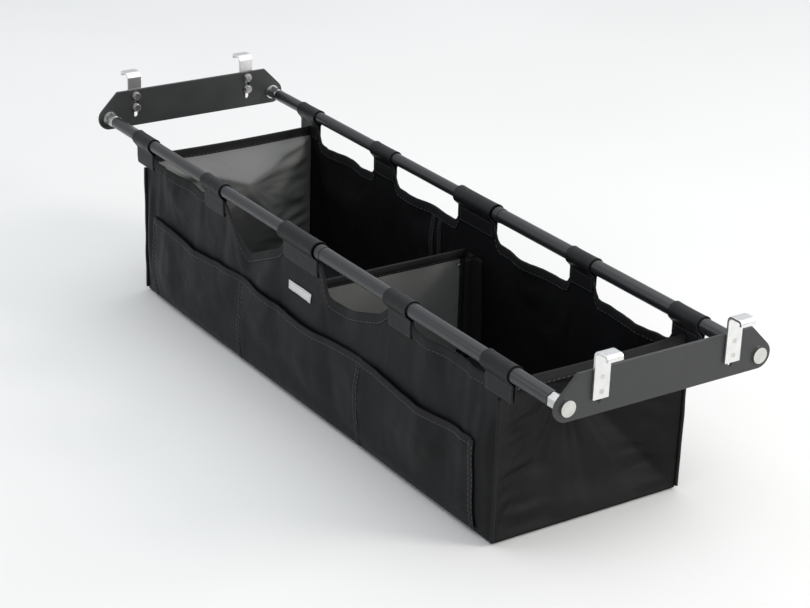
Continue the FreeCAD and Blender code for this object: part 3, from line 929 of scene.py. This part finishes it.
PIPING_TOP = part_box("corner_piping")[1].z
PIPING_R = 0.0029
PIPING_OUT = 0.0020     # its centre stands this far outside the corner
PIPING_X = BAG_END + PIPING_OUT
PIPING_Y = BAR_Y + PIPING_OUT
heights = np.linspace(FLOOR_TOP + 0.003, PIPING_TOP - 0.001, 40)
pipings = []
for x_side in (-1, 1):
    for y_side in (-1, 1):
        name = f"{'left' if x_side < 0 else 'right'}_{'rear' if y_side < 0 else 'front'}_piping"
        drift = [0.0008 * noise.noise(Vector((x_side * 3, y_side * 5, z / 0.05))) for z in heights]
        path = [(x_side * PIPING_X + d, y_side * PIPING_Y + d, z) for d, z in zip(drift, heights)]
        piping = tube_along(name, path, PIPING_R, black_tape, wander=0.10)
        pipings.append(sew_on(piping, "bag", "bag_binding", "corner_piping"))
print("piping", len(pipings), "pieces")

# %% [markdown]
# ## The floor of the bag
#
# The floor is one more panel of the black cloth. A stiff ribbed board lies on it and keeps
# it flat, so only its rim puckers, where it is sewn to the walls.


# %% Floor cloth
RIM_GAP = 0.0005
RIM_WIDTH = 0.012


def floor_height(x, y):
    """Height of the floor cloth, which puckers at its rim."""
    rim = min(BAG_END - abs(x), BAR_Y - abs(y))
    pucker = max(0.0, 1 - rim / RIM_WIDTH)
    lift = 0.0003 * wave_noise(x, y, 0, 0.02, 4.2) * pucker
    return FLOOR_TOP / 2 - 0.0001 + lift + 0.0006 * pucker ** 2


floor_xs = np.linspace(-BAG_END + RIM_GAP, BAG_END - RIM_GAP, 116)
floor_ys = np.linspace(-BAR_Y + RIM_GAP, BAR_Y - RIM_GAP, 38)
floor_points = np.array([[(x, y, floor_height(x, y)) for x in floor_xs] for y in floor_ys])
floor_cloth = grid_piece("floor_cloth", floor_points, floor_points[:, :, :2], black_cloth)
thicken(floor_cloth, CLOTH_T, levels=0)
sew_on(floor_cloth, "bag", "bag_fabric", "floor_panel")
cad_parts["floor_board"].data.materials.clear()
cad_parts["floor_board"].data.materials.append(floor_polypropylene)

# %% [markdown]
# ## Finding the face of a wall
#
# Loops, pocket, tag, channels and straps are all sewn to the long walls, which have sagged
# by now. A ruler laid on the real cloth would follow it, and so does this function: it
# reads the wall's own points, so whatever is sewn on lies on the cloth and not in it.


# %% Read the wall's face
def wall_face(side, x, z, away):
    """Point a set distance off the face of a long wall. Away is outward where it is positive."""
    grid = PANEL_POINTS[side]
    share = (min(BAG_END, max(-BAG_END, x)) + BAG_END) / (2 * BAG_END) * (grid.shape[1] - 1)
    c = min(int(share), grid.shape[1] - 2)
    y = [np.interp(z, grid[:, k, 2], grid[:, k, 1]) for k in (c, c + 1)]
    return np.array([x, y[0] + (y[1] - y[0]) * (share - c) + SIGNS[side] * away, z])


def facing(line, way):
    """The same direction for every point of a line."""
    return np.tile(way, (len(line), 1))


def face_line(side, xs, zs, away):
    line = np.array([wall_face(side, x, z, away) for x, z in zip(xs, zs)])
    return line, facing(line, (0.0, SIGNS[side], 0.0))


# %% [markdown]
# ## Loops over the bars
#
# The bag hangs from five loops on each bar. A loop is a band of the same coated cloth laid
# double: it goes up one face of the wall, round the bar, and down the other face, and is
# sewn through below the bar. Its weight pulls it tight over the top of the bar, so in
# profile it is a teardrop.


# %% Loop maker
def teardrop(radius, pinch, leg_end, offset, centre):
    """Profile across the bar, from one leg's end over the bar to the other leg's end."""
    reach = centre[1] - pinch
    lean = math.acos(min(1.0, radius / math.hypot(reach, offset))) + math.atan2(offset, reach)
    start = -math.pi / 2 - lean
    turns = np.linspace(start, -2 * math.pi + math.pi / 2 + lean - math.pi, 29)
    arc = [(centre[0] + radius * math.cos(t), centre[1] + radius * math.sin(t)) for t in turns]
    foot, top = (centre[0] - offset, pinch), arc[0]
    tangent_a = [tuple(a + (b - a) * s for a, b in zip(foot, top)) for s in np.linspace(0, 1, 5)[:-1]]
    tangent_b = [(2 * centre[0] - y, z) for y, z in reversed(tangent_a)]
    leg_a = [(centre[0] - offset, z) for z in np.linspace(leg_end, pinch, 6)[:-1]]
    leg_b = [(centre[0] + offset, z) for z in np.linspace(pinch, leg_end, 6)[1:]]
    return np.array(leg_a + tangent_a + arc + tangent_b + leg_b)


def loop_band(name, span, side, inner_radius):
    """Band of doubled cloth over one bar, seated on the top of it and sewn to both faces of the wall."""
    sign = SIGNS[side]
    radius = inner_radius + LOOP_T / 2
    bar_radius = INNER_BAR_R if span.mean() < 0.12 else OUTER_BAR_R
    drop = 0.0 if abs(span.mean()) < 0.1 else inner_radius - bar_radius - LOOP_CLEAR
    centre = (sign * BAR_Y, BAR_Z - drop)
    tab_top = hem_height(f"{side}_wall", [span.mean()])[0]
    stations = np.linspace(span[0] + 0.001, span[1] - 0.001, 15)
    grid = []
    for x in stations:
        edge = abs(x - span.mean()) / (span[1] - span[0]) * 2
        line = []
        for y, z in teardrop(radius, tab_top + 0.002, LOOP_END, 0.0026, centre):
            if z <= tab_top:
                over_tape = TAPE_T * smooth_step(z, LOOP_END, LOOP_END + 0.012)
                thick = (CLOTH_T + LOOP_T + LOOP_CLEAR) / 2 + over_tape
                line.append(wall_face(side, x, z, thick if (y - centre[0]) * sign > 0 else -thick))
                continue
            hang = (BAR_Z + radius - z) / (BAR_Z + radius - tab_top)
            loose = abs(wave_noise(x, y, z, 0.035, sign + span.mean() * 9))
            ease = loose * 0.0011 * math.sin(math.pi * hang) + 0.0008 * edge ** 5
            out = np.array([y - centre[0], z - centre[1]])
            out /= max(np.linalg.norm(out), 1e-9)
            line.append((x, y + out[0] * ease, z + out[1] * ease))
        grid.append(line)
    grid = np.array(grid)
    # The loop is drawn in the lighter copy of the cloth, which paints in the highlight on top of the bar.
    piece = grid_piece(name, grid, flat_cut(grid, level=False)[:, :, ::-1], loop_cloth_painted_light)
    thicken(piece, LOOP_T)
    return piece, grid


LOOP_BORES = {
    "a": INNER_BAR_R + 0.0006,
    "b": INNER_BAR_R + 0.0008,
    "c": COLLAR_R + 0.0006,
    "d": OUTER_BAR_R + 0.0005,
    "e": OUTER_BAR_R + 0.0005,
}
loops, loop_grids = {side: [] for side in SIGNS}, {}
for side in SIGNS:
    for letter, span in zip("abcde", LOOPS):
        piece, grid = loop_band(f"{side}_loop_{letter}", span, side, LOOP_BORES[letter])
        loops[side].append(sew_on(piece, "bag", "bag_binding"))
        loop_grids[piece.name] = grid
    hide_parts(f"{side}_loops")
print("loops made:", len(loop_grids))

# %% [markdown]
# ## Stitches on the loops
#
# Each leg of a loop is sewn to the wall with a box of stitches: two rows across it and one
# near each edge. The rows are read from the loop's own points, so they lie on its cloth.

# %% Stitches on the loops
LEG_POINTS = 6
BOX_HEIGHTS = (0.12, 0.85)
loop_rows = []
for grid in loop_grids.values():
    for leg, way in ((grid[1:-1, :LEG_POINTS], -1.0), (grid[1:-1, :-LEG_POINTS - 1:-1], 1.0)):
        direction = np.array([0.0, way, 0.0])
        lines = []
        for height in BOX_HEIGHTS:
            k, part = divmod(height * (LEG_POINTS - 1), 1)
            low, high = leg[:, int(k)], leg[:, int(k) + 1]
            lines.append(low + (high - low) * part)
        lines += [leg[0], leg[-1]]
        loop_rows += [(line + direction * LOOP_T / 2, facing(line, direction)) for line in lines]
loop_stitches = stitches("loop_stitches", loop_rows, "bag", "bag_binding", size=0.8)

# %% [markdown]

# %% [markdown]
# ## The outside pocket
#
# A low pocket is sewn to the outside of the rear wall. It is a second layer of cloth that
# is caught down by vertical seams, so between them its top edge sags and stands off the
# wall, and its belly is a little fuller than the wall behind.


# %% Pocket
POCKET_SEAMS = [-POCKET_END, -0.200, 0.200, POCKET_END]
POCKET_LOW = FLOOR_TOP + 0.004


POCKET_SAG = 0.010      # of the mouth between two seams
POCKET_BULGE = 0.0042
POCKET_CREASE = 0.0022
POCKET_MOUTH = 0.0016   # how far the mouth stands open beyond the bulge


def pocket_point(x, share):
    """Point of the pocket's cloth: share is 0 at its foot and 1 at its mouth."""
    left, right = next(pair for pair in zip(POCKET_SEAMS, POCKET_SEAMS[1:]) if x <= pair[1] + 1e-6)
    arch = max(0.0, math.sin(math.pi * (x - left) / (right - left)))
    loose = arch ** 0.6
    top = POCKET_TOP - POCKET_SAG * arch ** 2 * (1 + 0.3 * wave_noise(x, 0, 0, 0.2, 6))
    z = POCKET_LOW + (top - POCKET_LOW) * share
    bulge = POCKET_BULGE * loose * math.sin(math.pi * min(1.0, share * 0.62 + 0.08))
    crease = POCKET_CREASE * wave_noise(x, 0, z, 0.045, 8.8) * loose * math.sin(math.pi * share * 0.9)
    mouth = POCKET_MOUTH * loose * share ** 6
    return wall_face("rear", x, z, CLOTH_T + 0.0011 + bulge + abs(crease) + mouth)


SEAM_TAPE_HALF = 0.006
SEAM_TAPE_T = 0.0009
pocket_xs = np.linspace(-POCKET_END, POCKET_END, 126)
pocket_points = np.array([[pocket_point(x, share) for x in pocket_xs] for share in np.linspace(0, 1, 22)])
pocket = cloth_panel("rear_pocket_cloth", pocket_points, black_cloth)
sew_on(pocket, "bag", "bag_fabric", "rear_pocket")
pocket_tape = edge_tape("rear_pocket_tape", pocket_points, 0.013, rise=0.0008)
sew_on(pocket_tape, "bag", "bag_binding")
seam_strips, pocket_rows = [], []
for number, x in enumerate(POCKET_SEAMS):
    zs = np.linspace(POCKET_LOW, POCKET_TOP - 0.001, 24)
    middle, way = face_line("rear", [x] * len(zs), zs, CLOTH_T * 1.5 + 0.0012)
    half = np.array([SEAM_TAPE_HALF, 0.0, 0.0])
    thin = np.array([0.0, SEAM_TAPE_T, 0.0])
    shoulders = [middle - half * 0.9 - thin, middle + half * 0.9 - thin]
    rings = np.stack([middle - half] + shoulders + [middle + half], axis=1)
    strip = loft(f"pocket_seam_tape_{number + 1}", rings, black_tape)
    seam_strips.append(sew_on(strip, "bag", "bag_binding"))
    for off in (-SEAM_TAPE_HALF * 0.7, SEAM_TAPE_HALF * 0.7):
        pocket_rows.append((middle + np.array([off, -SEAM_TAPE_T, 0.0]), way))
pocket_rows.append(seam_path(pocket_points, 0.010, 1.0))
pocket_stitches = stitches("pocket_stitches", pocket_rows, "bag", "bag_binding")

# %% [markdown]
# ## The blank tag
#
# A small pale tag of soft vinyl is sewn below the middle loop. It is left plain.

# %% Tag
tag_low, tag_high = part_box("blank_tag")


def tag_grid():
    xs = np.linspace(tag_low.x, tag_high.x, 19)
    zs = np.linspace(tag_low.z, tag_high.z, 7)
    return np.array([[wall_face("rear", x, z, CLOTH_T / 2 + 0.0013) for x in xs] for z in zs])


tag_points = tag_grid()
tag = grid_piece("blank_sewn_tag", tag_points, flat_cut(tag_points), pale_vinyl)
add_modifier(tag, "SOLIDIFY", thickness=0.0012, offset=0.0)
add_modifier(tag, "BEVEL", width=0.0004, segments=2, limit_method="ANGLE", angle_limit=math.radians(50))
sew_on(tag, "bag", "tag_vinyl", "blank_tag")
tag_rows = []
inset = 0.0022          # from the tag's edge to its stitches
tag_face = CLOTH_T / 2 + 0.0019
levels = [tag_low.z + inset, tag_high.z - inset]
ends = [tag_low.x + inset, tag_high.x - inset]
for z in levels:
    tag_rows.append(face_line("rear", np.linspace(ends[0], ends[1], 12), [z] * 12, tag_face))
for x in ends:
    tag_rows.append(face_line("rear", [x] * 4, np.linspace(levels[0], levels[1], 4), tag_face))
tag_stitches = stitches("tag_stitches", tag_rows, "bag", "tag_vinyl", size=0.5)

# %% [markdown]
# ## The divider
#
# The divider is a stiff board covered with the grey lining and bound with black tape. It
# drops into two channels of tape that are sewn to the long walls, and two rivets hold its
# cover. A board like that is never quite flat, so it bows by a millimetre or so.


# %% Divider board
DIVIDER_T = DIVIDER_HIGH.x - DIVIDER_LOW.x - 0.0004
DIVIDER_INSET = 0.0006
DIVIDER_BOW = 0.0011


def divider_bow(y, z):
    """How far the board stands off its flat plane."""
    share = (z - DIVIDER_LOW.z) / (DIVIDER_HIGH.z - DIVIDER_LOW.z)
    middle = math.cos(math.pi * y / (DIVIDER_HIGH.y - DIVIDER_LOW.y))
    bow = DIVIDER_BOW * middle * math.sin(math.pi * share * 0.8)
    return bow + 0.0006 * wave_noise(0, y, z, 0.07, 2.6) * middle


divider_ys = np.linspace(DIVIDER_LOW.y + DIVIDER_INSET, DIVIDER_HIGH.y - DIVIDER_INSET, 40)
divider_zs = np.linspace(DIVIDER_LOW.z, DIVIDER_HIGH.z, 28)
divider_points = np.array([[(divider_bow(y, z), y, z) for y in divider_ys] for z in divider_zs])
divider = grid_piece("divider_board", divider_points, divider_points[:, :, 1:], grey_lining)
add_modifier(divider, "SOLIDIFY", thickness=DIVIDER_T, offset=0.0)
add_modifier(divider, "BEVEL", width=0.0008, segments=2, limit_method="ANGLE", angle_limit=math.radians(50))
sew_on(divider, "divider", "bag_lining", "divider_panel")
print("divider", divider_points.shape[:2], "points,", round(DIVIDER_T * 1000, 1), "mm thick")

# %% [markdown]
# ## Tape round the divider
#
# The board's cover ends at its edges, and a tape is folded over them like the tape on a
# book's spine. It is lofted: one profile across the tape is carried along each edge of the
# board, so it follows the board's bow.


# %% Divider binding
def round_board(name, line, into, reach, thickness):
    """Tape folded over a board's edge. into is the direction from the edge into the board."""
    side, into = np.array([1.0, 0.0, 0.0]), np.array(into)
    inner = DIVIDER_T / 2
    outer = inner + thickness
    profile = [(inner, reach), (outer * 0.98, reach), (outer, reach * 0.5), (outer, 0.0008)]
    profile.append((outer * 0.7, -thickness))
    profile += [(-a, b) for a, b in reversed(profile)]
    rings = [[place + side * a + into * b for a, b in profile] for place in line]
    return loft(name, rings, black_tape, step=0.004)


TOP_TAPE_T = 0.0006
SIDE_TAPE_T = 0.0004
top_line = divider_points[-1] + np.array([0.0, 0.0, 0.0004])
top_binding = round_board("divider_top_binding", top_line, (0.0, 0.0, -1.0), 0.016, TOP_TAPE_T)
sew_on(top_binding, "divider", "bag_binding", "divider_binding")
for column, way, label in ((0, 1.0, "rear"), (-1, -1.0, "front")):
    line = divider_points[:-1, column] + np.array([0.0, -way * 0.0001, 0.0])
    binding = round_board(f"divider_{label}_binding", line, (0.0, way, 0.0), 0.012, SIDE_TAPE_T)
    sew_on(binding, "divider", "bag_binding")

divider_rows = []
for face in (1.0, -1.0):
    way = np.array([face, 0.0, 0.0])
    line = divider_points[-1, 1:-1] + way * (DIVIDER_T / 2 + TOP_TAPE_T) - np.array([0.0, 0.0, 0.013])
    divider_rows.append((line, facing(line, way)))
divider_stitches = stitches("divider_stitches", divider_rows, "divider", "bag_binding", size=0.7)

# %% [markdown]
# ## Rivets in the divider
#
# Two tubular rivets hold the cover to the board, and each shows a low domed head on both
# faces. A head is a profile turned round an axis, so it is made as rings of points.


# %% Rivets
HEAD_PROFILE = [(0.0, 1.0), (0.35, 0.95), (0.68, 0.72), (0.9, 0.38), (1.0, 0.08), (1.0, 0.0)]


def rivet(name, centre, radius, height, material):
    """A domed rivet head on each face of the board."""
    points, faces = [], []
    turns = 24
    for face in (1.0, -1.0):
        base = len(points)
        for share, lift in HEAD_PROFILE:
            x = face * (DIVIDER_T / 2 + lift * height)
            for k in range(turns):
                a = 2 * math.pi * k / turns
                y, z = centre[0] + share * radius * math.cos(a), centre[1] + share * radius * math.sin(a)
                points.append((x, y, z))
        for ring in range(len(HEAD_PROFILE) - 1):
            for k in range(turns):
                a, b = base + ring * turns + k, base + ring * turns + (k + 1) % turns
                faces.append((a, b, b + turns, a + turns) if face < 0 else (a + turns, b + turns, b, a))
    return make_mesh(name, points, faces, np.zeros((len(points), 2)), material)


rivet_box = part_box("divider_rivets")
RIVET_Z = (rivet_box[0].z + rivet_box[1].z) / 2
RIVET_R = (rivet_box[1].z - rivet_box[0].z) / 2
RIVET_Y = rivet_box[1].y - RIVET_R
RIVET_H = rivet_box[1].x - DIVIDER_T / 2
for label, y in (("rear", -RIVET_Y), ("front", RIVET_Y)):
    head = rivet(f"divider_{label}_rivet", (y, RIVET_Z), RIVET_R, RIVET_H, small_zinc)
    sew_on(head, "divider", "zinc", "divider_rivets")
print("rivets at y", round(RIVET_Y, 4), "z", round(RIVET_Z, 4))

# %% [markdown]
# ## Channels for the divider
#
# Each channel is two strips of the wide black tape, folded to an L: one leg is sewn flat
# to the wall and the other stands out from it, and the divider slides between the two
# standing legs.

# %% Divider channels
TAPE_GAUGE = 0.0012
strips = []
for side, sign in SIGNS.items():
    guide = f"{side}_divider_guides"
    guide_low, guide_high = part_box(guide)
    near = float(np.abs(node_points(guide)[:, 0]).min()) + 0.0003
    lip = sign * float(np.abs(node_points(guide)[:, 1]).min())
    for way in (-1.0, 1.0):
        rings = []
        for z in np.linspace(guide_low.z + 0.002, guide_high.z - 0.001, 34):
            foot = wall_face(side, way * 0.012, z, 0.0)[1] - sign * (CLOTH_T / 2 + 0.0010)
            lean = near + 0.0014 * abs(noise.noise(Vector((sign * 2, way * 3, z / 0.03))))
            profile = [(near, foot), (near, (foot + lip) / 2), (lean, lip), (lean + TAPE_GAUGE, lip)]
            profile += [(near + TAPE_GAUGE, (foot + lip) / 2), (near + TAPE_GAUGE, foot - sign * TAPE_GAUGE)]
            profile += [(near + TAPE_W, foot - sign * TAPE_T), (near + TAPE_W, foot)]
            rings.append([(way * x, y, z) for x, y in profile])
        name = f"{side}_divider_channel_{'left' if way < 0 else 'right'}"
        strip = loft(name, rings, black_tape, step=0.004)
        strips.append(sew_on(strip, "bag", "bag_binding", guide))
print("channel strips", len(strips))

# %% [markdown]
# ## Straps on the front wall
#
# Two narrow vertical tapes are sewn down the inside of the front wall to take the load,
# with a row of stitches near each edge.


# %% Wall straps
STRAP_PLACES = (-0.145, -0.118)
STRAP_HALF = 0.0065
STRAP_T = 0.0012
STRAP_LOW = 0.012


def wall_strap(name, x):
    """Tape down the inside of the front wall, and the two rows of its stitches."""
    top = hem_height("front_wall", [x])[0] - TAPE_W
    away = -(CLOTH_T / 2 + 0.0002)
    thick = np.array([0.0, -STRAP_T, 0.0])
    rings, middle = [], []
    for z in np.linspace(STRAP_LOW, top, 26):
        left, right = (wall_face("front", x + off, z, away) for off in (-STRAP_HALF, STRAP_HALF))
        rings.append([left, left + thick * 0.9, (left + right) / 2 + thick, right + thick * 0.9, right])
        middle.append((left + right) / 2 + thick)
    strap = loft(name, rings, black_tape, step=STRAP_HALF * 0.6)
    edges = [np.array(middle) + np.array([off, 0.0, 0.0]) for off in (-STRAP_HALF * 0.72, STRAP_HALF * 0.72)]
    return strap, [(edge, facing(edge, (0.0, -1.0, 0.0))) for edge in edges]


strap_rows = []
for number, x in enumerate(STRAP_PLACES):
    strap, rows = wall_strap(f"front_wall_strap_{number + 1}", x)
    sew_on(strap, "bag", "bag_binding")
    strap_rows += rows
strap_stitches = stitches("strap_stitches", strap_rows, "bag", "bag_binding", size=0.8)

# %% [markdown]
# ## Studio floor and air
#
# The setting is a plain studio: one sheet of pale paper just under the object, and pale
# air that fills the shadows. A plain floor keeps the eye on the black cloth.

# %% Floor
bpy.ops.mesh.primitive_grid_add(x_subdivisions=4, y_subdivisions=4, size=40.0, location=(0, 0, -0.002))
studio_floor = bpy.context.object
studio_floor.name = "studio_floor"
studio_floor.data.materials.append(paper)
studio_floor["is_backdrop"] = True

world = bpy.data.worlds.new("studio_air")
bpy.context.scene.world = world
world.use_nodes = True
air = world.node_tree.nodes["Background"]
air.inputs["Color"].default_value = linear("#e9edf2")
air.inputs["Strength"].default_value = 0.8
print("studio floor", tuple(studio_floor.dimensions))

# %% [markdown]
# ## Lights
#
# One very large soft light hangs above, with a key from the far right and a weak fill from
# the left. Black cloth shows its folds only in the light that glances off it, so the key
# stands beyond the object and shines back towards the camera.


# %% Lights
def soft_light(name, place, target, size, watts, colour):
    lamp = bpy.data.lights.new(name, "AREA")
    lamp.shape = "RECTANGLE"
    lamp.size, lamp.size_y = size
    lamp.energy = watts
    lamp.color = linear(colour)[:3]
    light = bpy.data.objects.new(name, lamp)
    light.location = place
    light.rotation_euler = (Vector(target) - Vector(place)).to_track_quat("-Z", "Y").to_euler()
    bpy.context.scene.collection.objects.link(light)
    return light


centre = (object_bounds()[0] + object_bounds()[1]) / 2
soft_light("overhead_softbox", (0.0, 1.0, 4.2), (0.0, 1.0, 0.0), (7.0, 7.0), 150, "#ffffff")
soft_light("key_softbox", (2.6, 2.2, 1.9), centre, (1.0, 0.8), 55, "#fff8f0")
soft_light("fill_softbox", (-1.4, -2.8, 1.7), centre, (1.6, 1.2), 9, "#eef3ff")

# %% [markdown]
# ## Camera
#
# The camera looks down from behind and to the right of the object, as one looks into a
# truck bed from beside it, with a long lens and a slight tilt. It is placed by two angles
# and a distance, so that it is easy to walk round the object.

# %% Camera
CAMERA_AZIMUTH = 56.4
CAMERA_ELEVATION = 22.8
CAMERA_DISTANCE = 3.7
CAMERA_ROLL = 1.84
CAMERA_LENS = 94.0
CAMERA_AIM = centre + Vector((0.045, 0.0, -0.03))
azimuth, elevation = math.radians(CAMERA_AZIMUTH), math.radians(CAMERA_ELEVATION)
level = Vector((math.sin(azimuth), -math.cos(azimuth), 0.0)) * math.cos(elevation)
back = level + Vector((0.0, 0.0, math.sin(elevation)))
camera = bpy.data.objects.new("camera", bpy.data.cameras.new("camera"))
camera.data.lens = CAMERA_LENS
camera.data.sensor_width = 36.0
camera.location = centre + back * CAMERA_DISTANCE
aim = (CAMERA_AIM - camera.location).to_track_quat("-Z", "Y")
aim.rotate(Quaternion(back, math.radians(CAMERA_ROLL)))
camera.rotation_mode = "QUATERNION"
camera.rotation_quaternion = aim
bpy.context.scene.collection.objects.link(camera)
bpy.context.scene.camera = camera
bpy.context.scene.view_settings.view_transform = "Standard"
print("camera at", [round(value, 3) for value in camera.location])
